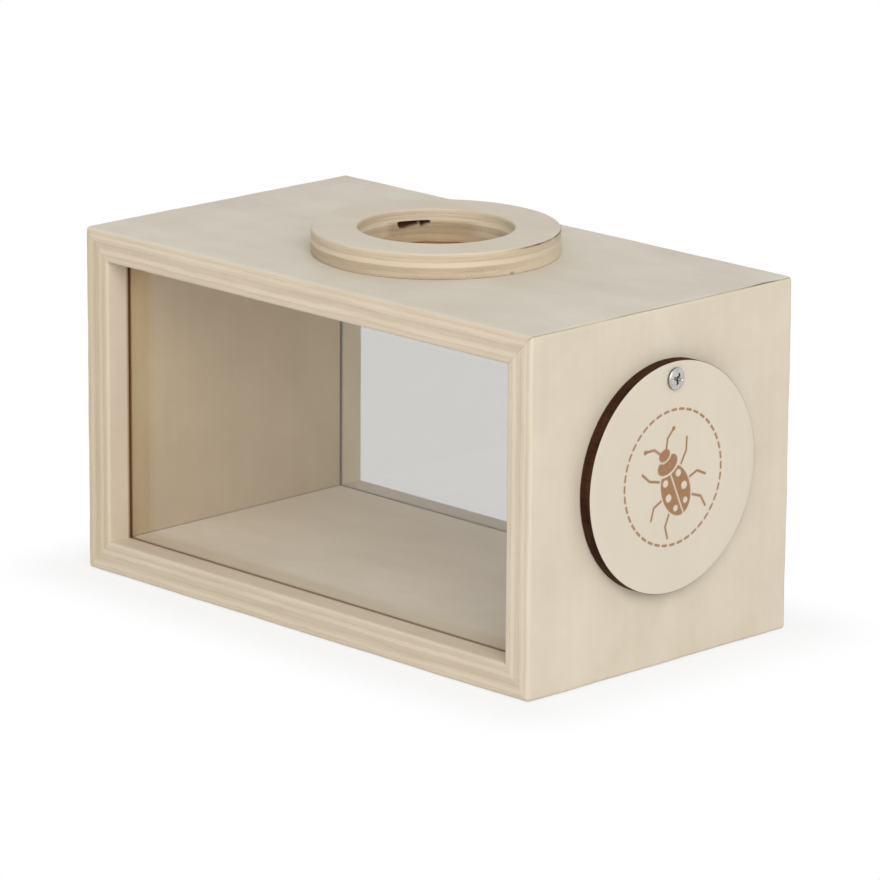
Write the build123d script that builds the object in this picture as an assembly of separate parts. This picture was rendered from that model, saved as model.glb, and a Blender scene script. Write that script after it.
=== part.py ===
from build123d import *
import math
import os

# Bug viewer box: a glued frame of four mitred plywood panels with a clear
# window in front and behind, a magnifying lens under a ring on the top, and
# a round cover that swings on one screw in front of the access hole.
# Millimetres. +Z is up, -Y is the front window, +X is the side of the cover.
# The origin is the centre of the underside.

# Frame
box_width = 195.0          # outside, along X
box_depth = 111.0          # outside, along Y
box_height = 110.0         # outside, along Z, without the lens ring
panel_thick = 10.0
outer_round = 1.2          # sanded outer edges
window_round = 1.0         # sanded edges of the front and rear opening
hole_bevel = 0.5           # sanded edges of the round holes

# Windows
pane_thick = 2.0
pane_set_back = 8.8        # from the edge of the frame to the outside of the pane
groove_depth = 4.0
groove_gap = 0.15          # beside the pane, on each face
pane_end_gap = 0.4         # between the pane and the ends and top of its grooves

# Viewing hole, lens and ring
hole_offset = 1.2          # of hole, lens and ring from the middle, towards the cover
view_bore = 48.0           # through the ring and down to the ledge under the lens
ledge_depth = 5.9          # from the top of the panel down to the ledge
ledge_width = 1.5
ring_diameter = 76.4
ring_thick = 8.0
ring_bevel = 0.6           # sanded outer top edge
rim_thick = 2.5            # flat rim of the lens that rests on the ledge
lens_sag = 3.0             # how far each face of the lens bulges past its rim
lens_side_gap = 0.1        # between the rim and the wood
dome_gap = 0.3             # between the lower dome and the ledge

# Access hole and its cover
access_bore = 45.0
cover_diameter = 70.6
cover_thick = 4.0
cover_height = 58.8        # of the centre of the closed cover above the underside
cover_gap = 0.3            # between the cover and the side panel
pivot_margin = 5.2         # from the edge of the cover to the axis of the screw

# Pivot screw
shank_diameter = 3.5
screw_length = 12.0        # under the head
point_length = 2.4
head_diameter = 7.0
head_rim = 0.8             # straight part of the head, under the dome
head_height = 1.8
head_gap = 0.15            # between the head and the cover
pivot_play = 0.08          # running clearance of the cover on the shank, radial
pilot_play = 0.02          # between the shank and its hole in the panel, radial
recess_span = 3.8          # across the cross recess at its mouth
recess_wing = 0.9          # width of each arm of the recess
recess_depth = 1.3
recess_floor = 1.2         # across the recess at its bottom

cut_over = 1.0             # how far cutting shapes run past the wood

half_width = box_width / 2
half_depth = box_depth / 2
inner_width = box_width - 2 * panel_thick
inner_height = box_height - 2 * panel_thick
mid_height = box_height / 2
ledge_level = box_height - ledge_depth
dome_radius = view_bore / 2 - ledge_width - dome_gap
cover_inner_x = half_width + cover_gap
cover_outer_x = cover_inner_x + cover_thick
pivot_height = cover_height + cover_diameter / 2 - pivot_margin

stand = (Align.CENTER, Align.CENTER, Align.MIN)


def seat_on_side(x, z):
    # A plane that faces +X, for round things on the cover's side.
    return Plane(origin=(x, 0, z), x_dir=(0, 1, 0), z_dir=(1, 0, 0))


def is_window_edge(edge):
    # The edges of the front and rear opening lie in the frame's end faces.
    middle = edge.center()
    on_end = math.isclose(abs(middle.Y), half_depth, abs_tol=1e-4)
    in_width = abs(middle.X) < inner_width / 2 + panel_thick / 4
    in_height = abs(middle.Z - mid_height) < inner_height / 2 + panel_thick / 4
    return on_end and in_width and in_height


def frame_blank():
    # The glued frame before it is taken as four panels: a tube of rectangular
    # section along Y, with its edges sanded and a groove for each pane.
    block = Pos(0, 0, mid_height) * Box(box_width, box_depth, box_height)
    block = fillet(block.edges(), outer_round)
    opening = Box(inner_width, box_depth + 2 * cut_over, inner_height)
    tube = block - Pos(0, 0, mid_height) * opening
    tube = fillet([edge for edge in tube.edges() if is_window_edge(edge)], window_round)
    groove = Box(
        inner_width + 2 * groove_depth,
        pane_thick + 2 * groove_gap,
        inner_height + 2 * groove_depth,
    )
    groove_y = half_depth - pane_set_back - pane_thick / 2
    for y in (-groove_y, groove_y):
        tube -= Pos(0, y, mid_height) * groove
    return tube


def frame_corner(side, level, offset):
    # A corner of the frame seen from the front, moved along the mitre line.
    return (side * (half_width + offset), mid_height + level * (mid_height + offset))


def mitred_panel(first, last):
    # The part of the frame between two mitre lines, which start in the corners
    # FIRST and LAST, each given as (side, level).
    outline = Polyline(
        frame_corner(*first, cut_over),
        frame_corner(*last, cut_over),
        frame_corner(*last, -panel_thick - cut_over),
        frame_corner(*first, -panel_thick - cut_over),
        close=True,
    )
    wedge = extrude(Plane.XZ * make_face(outline), half_depth + cut_over, both=True)
    return (frame & wedge).solid()


def round_hole(diameter, depth, ends):
    # The cutter of a hole from level 0 up to DEPTH, wider by the bevel at each
    # end that ENDS names, "low" or "high".
    cutter = Cylinder(diameter / 2, depth, align=stand)
    mouth = diameter / 2 + hole_bevel
    if "low" in ends:
        cutter += Cone(mouth, diameter / 2, hole_bevel, align=stand)
    if "high" in ends:
        flare = Cone(diameter / 2, mouth, hole_bevel, align=stand)
        cutter += Pos(0, 0, depth - hole_bevel) * flare
    return cutter


def make_top_panel():
    # The viewing hole is stepped: its narrower lower part leaves a ledge on
    # which the lens lies, deep in the hole.
    panel = mitred_panel((-1, 1), (1, 1))
    lower_bore = view_bore - 2 * ledge_width
    below = round_hole(lower_bore, panel_thick, ["low"])
    above = Cylinder(view_bore / 2, ledge_depth + cut_over, align=stand)
    panel -= Pos(hole_offset, 0, box_height - panel_thick) * below
    return (panel - Pos(hole_offset, 0, ledge_level) * above).solid()


def make_right_panel():
    panel = mitred_panel((1, 1), (1, -1))
    from_inside = seat_on_side(half_width - panel_thick, cover_height)
    panel -= from_inside * round_hole(access_bore, panel_thick, ["low", "high"])
    pilot_depth = screw_length - cover_gap - cover_thick - head_gap
    pilot = Cylinder(shank_diameter / 2 + pilot_play, pilot_depth, align=stand)
    return (panel - seat_on_side(half_width - pilot_depth, pivot_height) * pilot).solid()


def make_pane(side):
    # The pane stands on the bottom of its lower groove. SIDE is -1 in front.
    width = inner_width + 2 * (groove_depth - pane_end_gap)
    height = inner_height + 2 * groove_depth - pane_end_gap
    y = side * (half_depth - pane_set_back - pane_thick / 2)
    return Pos(0, y, panel_thick - groove_depth) * Box(width, pane_thick, height, align=stand)


def make_lens_ring():
    # A plain ring round the viewing hole, with both top edges sanded.
    ring_top = box_height + ring_thick
    ring = Cylinder(ring_diameter / 2, ring_thick, align=stand)
    ring -= Cylinder(view_bore / 2, ring_thick, align=stand)
    ring = Pos(hole_offset, 0, box_height) * ring.solid()
    top_edges = ring.edges().filter_by(GeomType.CIRCLE).filter_by_position(
        Axis.Z, ring_top, ring_top
    )
    rim, mouth = top_edges.sort_by(SortBy.RADIUS, reverse=True)
    return ring.chamfer(ring_bevel, None, [rim]).chamfer(hole_bevel, None, [mouth])


def ball_radius(half_chord, rise):
    # The radius of the ball of which a dome of that half width and rise is cut.
    return (half_chord ** 2 + rise ** 2) / (2 * rise)


def make_lens():
    # Where two balls meet, cut to a round of the width of the domes, and a flat
    # rim that lies on the ledge. The lower dome hangs between its edges.
    face_radius = ball_radius(dome_radius, lens_sag)
    ball = Rot(90, 0, 0) * Sphere(face_radius)
    upper = Pos(0, 0, rim_thick + lens_sag - face_radius) * ball
    lower = Pos(0, 0, face_radius - lens_sag) * ball
    trim = Cylinder(dome_radius, rim_thick + 2 * lens_sag, align=stand)
    rim = Cylinder(view_bore / 2 - lens_side_gap, rim_thick, align=stand)
    domes = upper & lower & Pos(0, 0, -lens_sag) * trim
    return Pos(hole_offset, 0, ledge_level) * (domes + rim).solid()


def make_swing_cover():
    disc = Cylinder(cover_diameter / 2, cover_thick, align=stand)
    pivot_hole = Cylinder(shank_diameter / 2 + pivot_play, cover_thick, align=stand)
    cover = seat_on_side(cover_inner_x, cover_height) * disc
    return (cover - seat_on_side(cover_inner_x, pivot_height) * pivot_hole).solid()


def make_pivot_screw():
    # Turned section: point, plain shank, flat underside and domed head, whose
    # dome is level on the axis.
    shank = shank_diameter / 2
    head = head_diameter / 2
    profile = Polyline(
        (0, -screw_length),
        (shank, -screw_length + point_length),
        (shank, 0),
        (head, 0),
        (head, head_rim),
    )
    cap_radius = ball_radius(head, head_height - head_rim)
    half_way = head / 2
    half_way_drop = cap_radius - math.sqrt(cap_radius ** 2 - half_way ** 2)
    dome = ThreePointArc(
        (head, head_rim),
        (half_way, head_height - half_way_drop),
        (0, head_height),
    )
    axis = Line((0, head_height), (0, -screw_length))
    screw = revolve(Plane.XZ * make_face([profile, dome, axis]), Axis.Z)
    arms = Box(recess_span, recess_wing, head_height) + Box(recess_wing, recess_span, head_height)
    taper = Cone(recess_floor / 2, recess_span / 2, recess_depth, align=stand)
    recess = Pos(0, 0, head_height - recess_depth) * (taper & Pos(0, 0, head_height / 2) * arms)
    screw = (screw - recess).solid()
    return seat_on_side(cover_outer_x + head_gap, pivot_height) * screw


frame = frame_blank()

nodes = {
    "top_panel": make_top_panel(),
    "bottom_panel": mitred_panel((1, -1), (-1, -1)),
    "left_panel": mitred_panel((-1, -1), (-1, 1)),
    "right_panel": make_right_panel(),
    "front_pane": make_pane(-1),
    "rear_pane": make_pane(1),
    "lens_ring": make_lens_ring(),
    "magnifier_lens": make_lens(),
    "swing_cover": make_swing_cover(),
    "pivot_screw": make_pivot_screw(),
}

os.makedirs("parts", exist_ok=True)
for name, solid in nodes.items():
    solid.label = name
    export_step(solid, f"parts/{name}.step")
    print(name, "volume", round(solid.volume, 1))
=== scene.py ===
import bmesh
import bpy
import numpy as np
from mathutils import Matrix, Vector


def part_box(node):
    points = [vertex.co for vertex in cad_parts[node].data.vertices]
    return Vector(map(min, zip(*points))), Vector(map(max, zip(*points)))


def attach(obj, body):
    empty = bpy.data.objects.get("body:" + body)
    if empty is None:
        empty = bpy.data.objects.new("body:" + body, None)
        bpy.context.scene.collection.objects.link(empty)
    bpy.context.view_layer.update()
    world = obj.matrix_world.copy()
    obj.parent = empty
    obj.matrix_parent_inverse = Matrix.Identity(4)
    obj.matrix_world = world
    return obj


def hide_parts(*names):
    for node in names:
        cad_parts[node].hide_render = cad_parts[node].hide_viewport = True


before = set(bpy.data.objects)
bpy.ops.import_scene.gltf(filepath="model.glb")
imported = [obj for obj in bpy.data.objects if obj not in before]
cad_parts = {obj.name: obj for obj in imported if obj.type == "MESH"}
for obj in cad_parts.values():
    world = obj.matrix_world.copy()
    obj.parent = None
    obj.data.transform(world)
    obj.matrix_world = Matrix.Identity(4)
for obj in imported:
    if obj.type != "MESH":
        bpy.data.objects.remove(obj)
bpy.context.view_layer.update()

mm = 0.001


# Distances from an edge at which a surface is sampled, so that its rounding is smooth.
nearEdge = np.array([0, 0.09, 0.2, 0.33, 0.48, 0.66, 0.88, 1.15, 1.5, 2.1, 3.0])


def spread(start, stop, cells):
    # samples from start to stop: nearEdge at both ends and even cells between them
    length = abs(stop - start)
    middle = np.linspace(nearEdge[-1], length - nearEdge[-1], cells + 1)
    steps = np.concatenate([nearEdge[:-1], middle, length - nearEdge[-2::-1]])
    return start + np.sign(stop - start) * steps


def points(*coordinates):
    # points joined from their coordinates, each a grid, a row, a column or one value
    return np.stack(np.broadcast_arrays(*coordinates), axis=-1)


def gridQuads(grid, wrapRows=False, wrapColumns=False):
    # quad (i, j), (i+1, j), (i+1, j+1), (i, j+1) of a grid numbered i * columns + j
    rows, columns = grid.shape[:2]
    i = np.arange(rows if wrapRows else rows - 1)
    j = np.arange(columns if wrapColumns else columns - 1)
    i, j = np.meshgrid(i, j, indexing="ij")
    nextI = (i + 1) % rows
    nextJ = (j + 1) % columns
    corners = [i * columns + j, nextI * columns + j, nextI * columns + nextJ, i * columns + nextJ]
    return points(*corners).reshape(-1, 4)


def smoothStep(low, high, x):
    # 3k^2 - 2k^3, with k = (x - low) / (high - low) held between 0 and 1
    k = np.clip((x - low) / (high - low), 0, 1)
    return k * k * (3 - 2 * k)


def wander(x, seed):
    # smooth uneven wave between about -1 and 1: a sum of four sines of unlike lengths
    phase = seed * np.array([1.7, 2.9, 4.3, 5.1])
    lengths = np.array([47.0, 19.0, 7.7, 3.1])
    heights = np.array([0.45, 0.3, 0.17, 0.08])
    return sum(h * np.sin(x / l * 6.283 + p) for h, l, p in zip(heights, lengths, phase))


def newObject(name, data):
    thing = bpy.data.objects.new(name, data)
    bpy.context.scene.collection.objects.link(thing)
    return thing


def makePiece(name, grids, body, nodes, material, extra=(), sharpAngle=38):
    # grids: (points in mm, quads, {attribute: values}); they are joined and their doubles merged
    places = np.concatenate([g[0].reshape(-1, 3) for g in grids])
    starts = np.cumsum([0] + [g[0].size // 3 for g in grids])
    quads = np.concatenate([g[1] + s for g, s in zip(grids, starts)])
    first, inverse = np.unique(np.round(places, 4), axis=0, return_index=True, return_inverse=True)[1:]
    inverse = inverse.reshape(-1)
    mesh = bpy.data.meshes.new(name)
    faces = inverse[quads].tolist() + [inverse[loop].tolist() for loop in extra]
    faces = [list(dict.fromkeys(f)) for f in faces]
    mesh.from_pydata((places[first] * mm).tolist(), [], [f for f in faces if len(f) > 2])
    for key in grids[0][2]:
        values = np.concatenate([np.asarray(g[2][key]).reshape(g[0].size // 3, -1) for g in grids])[first]
        kind, field = ("FLOAT_VECTOR", "vector") if values.shape[1] == 3 else ("FLOAT", "value")
        attribute = mesh.attributes.new(key, kind, "POINT")
        attribute.data.foreach_set(field, values.astype(np.float32).ravel())
    shape = bmesh.new()
    shape.from_mesh(mesh)
    loose = [v for v in shape.verts if not v.link_faces]
    bmesh.ops.delete(shape, geom=loose, context="VERTS")
    bmesh.ops.recalc_face_normals(shape, faces=shape.faces)
    shape.to_mesh(mesh)
    shape.free()
    mesh.shade_smooth()
    mesh.set_sharp_from_angle(angle=np.radians(sharpAngle))
    mesh.materials.append(material)
    piece = newObject(name, mesh)
    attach(piece, body)
    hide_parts(*nodes)
    return piece


def nodeBox(node):
    # lowest and highest corner of a CAD node, in mm
    low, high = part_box(node)
    return np.array(low) / mm, np.array(high) / mm


camera = {
    "right": (0.698426, 0.71565241, 0.0065384),
    "up": (-0.18911193, 0.17573325, 0.96610274),
    "back": (0.69024474, -0.67598776, 0.25807508),
    "place": (1186.02, -1158.04, 493.09),  # mm
    "lens": 228.32,
}


def setPlace(thing, right, up, back, place):
    # the thing's axes and its place in metres
    columns = np.array([right, up, back, place]).T
    thing.matrix_world = Matrix([list(row) for row in columns] + [[0, 0, 0, 1]])


def placeCamera():
    eye = newObject("camera", bpy.data.cameras.new("camera"))
    eye.data.lens = camera["lens"]
    eye.data.sensor_width = 36
    setPlace(eye, camera["right"], camera["up"], camera["back"], np.array(camera["place"]) * mm)
    bpy.context.scene.camera = eye


placeCamera()
bpy.context.scene.view_settings.view_transform = "Standard"
print("camera placed")


def paint(red, green, blue):
    # screen colour 0-255 as a linear colour: ((c + 0.055) / 1.055) ^ 2.4
    c = np.array([red, green, blue]) / 255
    linear = np.where(c < 0.04045, c / 12.92, ((c + 0.055) / 1.055) ** 2.4)
    return (*linear.tolist(), 1.0)


def feed(tree, sockets, inputs):
    # values are set on a node's own sockets, and sockets are linked to them
    for key, value in inputs.items():
        if isinstance(value, bpy.types.NodeSocket):
            tree.links.new(value, sockets[key])
        else:
            sockets[key].default_value = value


def add(tree, kind, inputs=None, **settings):
    # kind: without the ShaderNode that begins its full name
    node = tree.nodes.new("ShaderNode" + kind)
    for key, value in settings.items():
        setattr(node, key, value)
    feed(tree, node.inputs, inputs or {})
    return node


def maths(tree, operation, *values):
    return add(tree, "Math", dict(enumerate(values)), operation=operation).outputs[0]


def plus(tree, value, factor, rest):
    # value * factor + rest
    return maths(tree, "MULTIPLY_ADD", value, factor, rest)


def mixColour(tree, factor, first, second, blend="MIX"):
    inputs = {0: factor, 6: first, 7: second}
    return add(tree, "Mix", inputs, data_type="RGBA", blend_type=blend).outputs[2]


def between(tree, value, low, high, toLow=0.0, toHigh=1.0):
    # value carried from low..high to toLow..toHigh along a smooth step
    inputs = {"Value": value, "From Min": low, "From Max": high, "To Min": toLow, "To Max": toHigh}
    return add(tree, "MapRange", inputs, interpolation_type="SMOOTHSTEP").outputs[0]


def stretched(tree, place, scale, detail=2.0, roughness=0.5, distortion=0.0):
    # noise on a place in mm, stretched by a scale for each axis
    scaled = add(tree, "VectorMath", {0: place, 1: scale}, operation="MULTIPLY").outputs[0]
    inputs = {"Vector": scaled, "Scale": 1.0, "Detail": detail, "Roughness": roughness, "Distortion": distortion}
    return add(tree, "TexNoise", inputs).outputs["Fac"]


def ramp(tree, value, stops):
    # stops: (position, grey level)
    node = add(tree, "ValToRGB", {"Fac": value})
    node.color_ramp.interpolation = "EASE"
    elements = node.color_ramp.elements
    while len(elements) < len(stops):
        elements.new(1.0)
    for element, (position, level) in zip(elements, stops):
        element.position = position
        element.color = (level, level, level, 1)
    return node.outputs[0]


def newGroup(name, inputs, outputs):
    # inputs and outputs: names of the sockets by kind
    tree = bpy.data.node_groups.new(name, "ShaderNodeTree")
    for way, sockets in (("INPUT", inputs), ("OUTPUT", outputs)):
        for kind, labels in sockets.items():
            for label in labels:
                tree.interface.new_socket(label, in_out=way, socket_type="NodeSocket" + kind)
    return tree, tree.nodes.new("NodeGroupInput").outputs, tree.nodes.new("NodeGroupOutput").inputs


def newMaterial(name):
    material = bpy.data.materials.new(name)
    material.use_nodes = True
    tree = material.node_tree
    return material, tree, tree.nodes["Principled BSDF"]


def useGroup(tree, group, inputs):
    return add(tree, "Group", inputs, node_tree=group).outputs


def attribute(tree, name, output="Fac"):
    return add(tree, "Attribute", attribute_name=name).outputs[output]


def placeInMm(tree):
    place = add(tree, "TexCoord").outputs["Object"]
    return add(tree, "VectorMath", {0: place, "Scale": 1000.0}, operation="SCALE").outputs[0]


def isSeen(tree):
    # 1 where the camera looks, straight, by reflection or through clear plastic
    ray = add(tree, "LightPath").outputs
    turned = maths(tree, "MAXIMUM", ray["Is Glossy Ray"], ray["Is Transmission Ray"])
    return maths(tree, "MAXIMUM", ray["Is Camera Ray"], turned)


def relief(tree, height, strength, depth):
    # bump of a depth in mm
    inputs = {"Strength": strength, "Distance": depth * mm, "Height": height}
    return add(tree, "Bump", inputs).outputs[0]


def mixShaders(tree, share, first, second, output):
    both = add(tree, "MixShader", {0: share, 1: first.outputs[0], 2: second.outputs[0]})
    feed(tree, output.inputs, {"Surface": both.outputs[0]})


def addLayers(tree, level, layers):
    # level + the sum of height * (noise - 0.5) over the layers of (noise, height)
    for noise, height in layers:
        level = plus(tree, maths(tree, "SUBTRACT", noise, 0.5), height, level)
    return level


def veneerFace():
    # sanded birch: soft clouds and blotches, faint bands along the grain, fine fibres and short flecks
    inputs = {"Vector": ["Place"], "Color": ["Pale", "Deep", "Fleck"], "Float": ["Bands", "Fibres", "Flecks"]}
    tree, given, result = newGroup("veneerFace", inputs, {"Color": ["Colour"], "Float": ["Height"]})
    place = given["Place"]
    wide = stretched(tree, place, (0.006, 0.05, 0.05), distortion=0.6)
    streak = stretched(tree, place, (0.012, 0.42, 0.42), detail=3.0, distortion=0.3)
    fibre = stretched(tree, place, (0.09, 3.6, 3.6), detail=3.0, roughness=0.6)
    cloud = stretched(tree, place, (0.026, 0.03, 0.03), detail=3.0)
    blotch = stretched(tree, place, (0.07, 0.09, 0.09), distortion=0.8)
    fleck = stretched(tree, place, (0.55, 6.5, 6.5), detail=1.0)
    level = addLayers(tree, 0.0, [(wide, 0.7), (streak, 0.35), (cloud, 1.5), (blotch, 0.6)])
    level = plus(tree, level, given["Bands"], 0.5)
    level = addLayers(tree, level, [(fibre, given["Fibres"])])
    colour = mixColour(tree, level, given["Pale"], given["Deep"])
    spots = maths(tree, "MULTIPLY", between(tree, fleck, 0.66, 0.76), given["Flecks"])
    feed(tree, result, {
        "Colour": mixColour(tree, spots, colour, given["Fleck"]),
        "Height": plus(tree, spots, -0.5, fibre)})
    return tree


def veneerEdge(bandStops):
    # sawn edge: plies by depth below the face with wavy borders; dark plies show speckled end grain
    inputs = {
        "Vector": ["Place"],
        "Color": ["Light Ply", "Dark Ply", "Fleck"],
        "Float": ["Thickness", "Waviness", "Flecks"],
    }
    tree, given, result = newGroup("veneerEdge", inputs, {"Color": ["Colour"], "Float": ["Height"]})
    place = given["Place"]
    x, y, depth = add(tree, "SeparateXYZ", {0: place}).outputs
    slow = stretched(tree, place, (0.035, 0.035, 0.02), detail=1.0)
    quick = stretched(tree, place, (0.22, 0.22, 0.25), detail=3.0, roughness=0.65)
    drift = addLayers(tree, 0.0, [(slow, 0.8), (quick, 0.8)])
    depth = plus(tree, drift, given["Waviness"], depth)
    dark = ramp(tree, maths(tree, "DIVIDE", depth, given["Thickness"]), bandStops)
    # thin fibres run with the plies and follow their waves
    bent = add(tree, "CombineXYZ", {0: x, 1: y, 2: depth}).outputs[0]
    along = stretched(tree, bent, (0.13, 0.13, 5.5), detail=3.0, roughness=0.65)
    speckle = stretched(tree, place, (1.5, 1.5, 3.2), detail=3.0, roughness=0.7)
    patch = stretched(tree, bent, (0.04, 0.04, 0.7))
    level = addLayers(tree, dark, [(along, 0.9), (patch, 0.8)])
    colour = mixColour(tree, level, given["Light Ply"], given["Dark Ply"])
    spots = maths(tree, "GREATER_THAN", speckle, plus(tree, dark, -0.06, 0.7))
    spots = maths(tree, "MULTIPLY", spots, given["Flecks"])
    height = plus(tree, speckle, 0.7, along)
    feed(tree, result, {
        "Colour": mixColour(tree, spots, colour, given["Fleck"]),
        "Height": plus(tree, spots, -0.6, height)})
    return tree


def handMarks():
    # faint smudges and rubbed places, for roughness
    tree, given, result = newGroup("handMarks", {"Vector": ["Place"], "Float": ["Size"]}, {"Float": ["Mask"]})
    place = {0: given["Place"], "Scale": given["Size"]}
    place = add(tree, "VectorMath", place, operation="SCALE").outputs[0]
    broad = stretched(tree, place, (0.03, 0.03, 0.03), detail=4.0, distortion=1.0)
    feed(tree, result, {"Mask": between(tree, broad, 0.42, 0.72)})
    return tree


# how dark the plies are, from 0 to 1, at shares of the depth below the outer face
panelBands = [
    (0.0, 0.3), (0.15, 0.35), (0.175, 0.7), (0.2, 0.15), (0.28, 0.05), (0.33, 0.4), (0.39, 0.45), (0.42, 0.85),
    (0.46, 0.6), (0.58, 0.6), (0.64, 0.1), (0.73, 0.1), (0.78, 0.65), (0.82, 0.45), (0.95, 0.3), (1.0, 0.15),
]
ringBands = [
    (0.0, 0.3), (0.16, 0.35), (0.19, 0.6), (0.23, 0.4), (0.33, 0.5), (0.38, 0.05), (0.52, 0.0), (0.57, 0.75),
    (0.74, 0.85), (0.8, 0.65), (1.0, 0.8),
]
faceGroup = veneerFace()
panelEdgeGroup = veneerEdge(panelBands)
ringEdgeGroup = veneerEdge(ringBands)
marksGroup = handMarks()
print("shared effects made")


def plywood(tree, f, edgeGroup, place, edge):
    # colours of face and sawn edge, and the height of their texture
    face = useGroup(tree, faceGroup, {"Place": place, **f["face"]})
    plies = useGroup(tree, edgeGroup, {"Place": place, **f["plies"]})
    height = add(tree, "Mix", {0: edge, 2: face["Height"], 3: plies["Height"]}).outputs[0]
    return face["Colour"], plies["Colour"], height


panelFinish = {
    "face": {
        "Pale": paint(228, 215, 195), "Deep": paint(205, 189, 166), "Fleck": paint(170, 146, 118),
        "Bands": 0.62, "Fibres": 0.14, "Flecks": 0.35,
    },
    "plies": {
        "Light Ply": paint(229, 214, 190), "Dark Ply": paint(205, 187, 158), "Fleck": paint(172, 147, 116),
        "Thickness": 10.0, "Waviness": 1.0, "Flecks": 0.6,
    },
    # painted shade: the colour in the pane grooves and on the dark line round the viewing hole
    "groove": paint(134, 92, 58),
    "bump": 0.06,  # mm
}


def panelPly():
    material, tree, shader = newMaterial("panelPly")
    f = panelFinish
    place, edge, groove = attribute(tree, "grain", "Vector"), attribute(tree, "edge"), attribute(tree, "groove")
    face, plies, height = plywood(tree, f, panelEdgeGroup, place, edge)
    colour = mixColour(tree, edge, face, plies)
    # the wood's own tone by board and sawn edge, with painted light and shade
    colour = mixColour(tree, 1.0, colour, attribute(tree, "toneAndLight", "Color"), "MULTIPLY")
    marks = useGroup(tree, marksGroup, {"Place": place, "Size": 1.0})["Mask"]
    # painted shade in the grooves and on the line round the viewing hole, with less sheen there
    feed(tree, shader.inputs, {
        "Base Color": mixColour(tree, groove, colour, f["groove"]),
        "Specular IOR Level": plus(tree, groove, -0.45, 0.5),
        "Normal": relief(tree, height, 0.6, f["bump"]),
        "Roughness": plus(tree, marks, -0.03, 0.64)})
    return material


ringFinish = {
    "face": {
        "Pale": paint(223, 213, 196), "Deep": paint(202, 190, 171), "Fleck": paint(150, 124, 100),
        "Bands": 0.5, "Fibres": 0.2, "Flecks": 0.4,
    },
    "plies": {
        "Light Ply": paint(221, 205, 178), "Dark Ply": paint(181, 162, 137), "Fleck": paint(128, 100, 72),
        "Thickness": 8.0, "Waviness": 0.45, "Flecks": 0.7,
    },
    # painted shade on the lower plies at the far side of the bore
    "farBoreShade": paint(227, 219, 206),  # multiplies the lower plies at the far side of the bore
    # the singed top edge and the dark spot, and painted shade in the void in the core
    "darkened": paint(70, 40, 22),
    "bump": 0.08,  # mm
}


def ringPly():
    material, tree, shader = newMaterial("ringPly")
    f = ringFinish
    place, edge, burnAndShade = attribute(tree, "grain", "Vector"), attribute(tree, "edge"), attribute(tree, "burnAndShade")
    face, plies, height = plywood(tree, f, ringEdgeGroup, place, edge)
    sawn = mixColour(tree, attribute(tree, "paler"), plies, f["plies"]["Light Ply"])
    # painted shade on the lower plies at the far side of the bore
    sawn = mixColour(tree, attribute(tree, "farBoreShadeMask"), sawn, f["farBoreShade"], "MULTIPLY")
    colour = mixColour(tree, edge, face, sawn)
    # burn marks, and painted shade in the void
    feed(tree, shader.inputs, {
        "Base Color": mixColour(tree, burnAndShade, colour, f["darkened"]),
        "Specular IOR Level": plus(tree, burnAndShade, -0.45, 0.5),
        "Normal": relief(tree, height, 0.7, f["bump"]),
        "Roughness": 0.62})
    return material


coverFinish = {
    "face": {
        "Pale": paint(226, 215, 198), "Deep": paint(209, 196, 177), "Fleck": paint(190, 170, 146),
        "Bands": 0.35, "Fibres": 0.15, "Flecks": 0.2,
    },
    "char": (paint(76, 44, 26), paint(28, 16, 10)),
    "engraved": (paint(176, 134, 96), paint(134, 94, 60)),
    "bump": 0.05,  # mm
}


def coverPly():
    material, tree, shader = newMaterial("coverPly")
    f = coverFinish
    place, edge = attribute(tree, "grain", "Vector"), attribute(tree, "edge")
    face = useGroup(tree, faceGroup, {"Place": place, **f["face"]})
    # laser-burnt edge: streaks through the thickness over long soft patches
    streaks = stretched(tree, place, (1.1, 1.1, 0.2), detail=4.0, roughness=0.6)
    patches = stretched(tree, place, (0.09, 0.09, 0.5))
    char = mixColour(tree, addLayers(tree, streaks, [(patches, 1.6)]), *f["char"])
    toned = mixColour(tree, streaks, *f["engraved"])
    colour = mixColour(tree, attribute(tree, "engraved"), face["Colour"], toned)
    feed(tree, shader.inputs, {
        "Base Color": mixColour(tree, edge, colour, char),
        "Specular IOR Level": plus(tree, edge, -0.4, 0.5),
        "Normal": relief(tree, face["Height"], 0.5, f["bump"]),
        "Roughness": plus(tree, edge, 0.15, 0.62)})
    return material


plasticFinish = {
    # tint, and the tint for light that passes straight through
    "pane": ((0.785, 0.782, 0.774, 1), (0.98, 0.975, 0.96, 1)),
    "lens": ((0.94, 0.95, 0.94, 1), (0.95, 0.95, 0.94, 1)),
    "smear": 0.03,
    "marksSize": 1.4,
    "ior": 1.49,
}


def clearPlastic(name, tint, passTint):
    # Principled glass for what is seen; shadow and diffuse rays pass straight through it
    material, tree, shader = newMaterial(name)
    f = plasticFinish
    marks = useGroup(tree, marksGroup, {"Place": placeInMm(tree), "Size": f["marksSize"]})["Mask"]
    feed(tree, shader.inputs, {
        "Base Color": tint,
        "Transmission Weight": 1.0,
        "IOR": f["ior"],
        "Roughness": plus(tree, marks, f["smear"], 0.012)})
    passing = add(tree, "BsdfTransparent", {"Color": passTint})
    ray = add(tree, "LightPath").outputs
    unseen = maths(tree, "MAXIMUM", ray["Is Shadow Ray"], ray["Is Diffuse Ray"])
    mixShaders(tree, unseen, shader, passing, tree.nodes["Material Output"])
    return material


zincFinish = {
    "bright": paint(206, 205, 201),
    "grey": paint(172, 170, 164),
    # painted shade in the cross recess and round the rim of the head
    "rimAndRecessShade": paint(118, 114, 104),  # in the recess and round the rim
    "bump": 0.02,  # mm
}


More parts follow.
